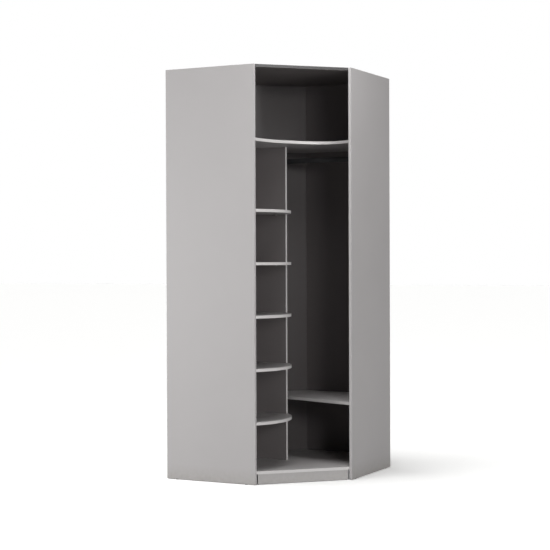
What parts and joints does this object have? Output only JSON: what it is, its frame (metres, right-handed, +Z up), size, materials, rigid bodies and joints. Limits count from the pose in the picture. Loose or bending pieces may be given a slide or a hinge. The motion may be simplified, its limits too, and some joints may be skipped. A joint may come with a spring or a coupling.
{
  "type": "corner wardrobe",
  "caption": "Open corner wardrobe with a slanted front, a column of bow-fronted loose shelves, a hollow-fronted hat shelf, a hanging rail and a low shelf.",
  "frame": {"origin": "on the floor, at the middle of the outline", "axes": "+Z up; the left wall is behind the plane of least X, the right wall is behind the plane of greatest Y, and the slanted open front looks towards +X and -Y"},
  "size_m": [0.96, 0.96, 2.3],
  "materials": {
    "grey_melamine": "light grey melamine-faced chipboard, satin",
    "graphite_melamine": "graphite melamine-faced chipboard, satin",
    "hardboard": "graphite lacquered hardboard, matt",
    "grey_edging": "light grey ABS edging strip, satin",
    "graphite_edging": "graphite ABS edging strip, satin",
    "rail_steel": "graphite powder-coated steel tube",
    "rail_fitting": "graphite coated zinc die-casting",
    "black_plastic": "black moulded plastic",
    "zinc": "zinc-plated steel",
    "beech": "plain beech"
  },
  "bodies": {
    "carcass": {"left_side_panel": "grey_melamine", "right_side_panel": "grey_melamine", "plinth_board": "grey_melamine", "bottom_panel": "grey_melamine", "hat_shelf": "grey_melamine", "low_shelf": "grey_melamine", "top_panel": "graphite_melamine", "divider_panel": "graphite_melamine", "corner_back_board": "graphite_melamine", "left_back_panel": "hardboard", "right_back_panel": "hardboard", "left_side_edging": "grey_edging", "right_side_edging": "grey_edging", "bottom_edging": "grey_edging", "divider_edging": "grey_edging", "hat_shelf_edging": "grey_edging", "low_shelf_edging": "grey_edging", "top_edging": "graphite_edging", "hanging_rail": "rail_steel", "rail_flange": "rail_fitting", "rail_hanger": "rail_fitting", "rail_end_cap": "black_plastic", "floor_glides": "black_plastic", "plinth_blocks": "black_plastic", "shelf_pins": "zinc", "cam_locks": "zinc", "cam_bolts": "zinc", "panel_screws": "zinc", "back_nails": "zinc", "rail_screws": "zinc", "dowels": "beech"},
    "shelf_1": {"small_shelf_1": "grey_melamine", "small_shelf_edging_1": "grey_edging"},
    "shelf_2": {"small_shelf_2": "grey_melamine", "small_shelf_edging_2": "grey_edging"},
    "shelf_3": {"small_shelf_3": "grey_melamine", "small_shelf_edging_3": "grey_edging"},
    "shelf_4": {"small_shelf_4": "grey_melamine", "small_shelf_edging_4": "grey_edging"},
    "shelf_5": {"small_shelf_5": "grey_melamine", "small_shelf_edging_5": "grey_edging"}
  },
  "joints": [
    {"name": "shelf_1_slide", "type": "slide", "parent": "carcass", "child": "shelf_1", "axis": [1, 0, 0], "range_m": [0, 0.055]},
    {"name": "shelf_2_slide", "type": "slide", "parent": "carcass", "child": "shelf_2", "axis": [1, 0, 0], "range_m": [0, 0.055]},
    {"name": "shelf_3_slide", "type": "slide", "parent": "carcass", "child": "shelf_3", "axis": [1, 0, 0], "range_m": [0, 0.055]},
    {"name": "shelf_4_slide", "type": "slide", "parent": "carcass", "child": "shelf_4", "axis": [1, 0, 0], "range_m": [0, 0.055]},
    {"name": "shelf_5_slide", "type": "slide", "parent": "carcass", "child": "shelf_5", "axis": [1, 0, 0], "range_m": [0, 0.055]}
  ]
}
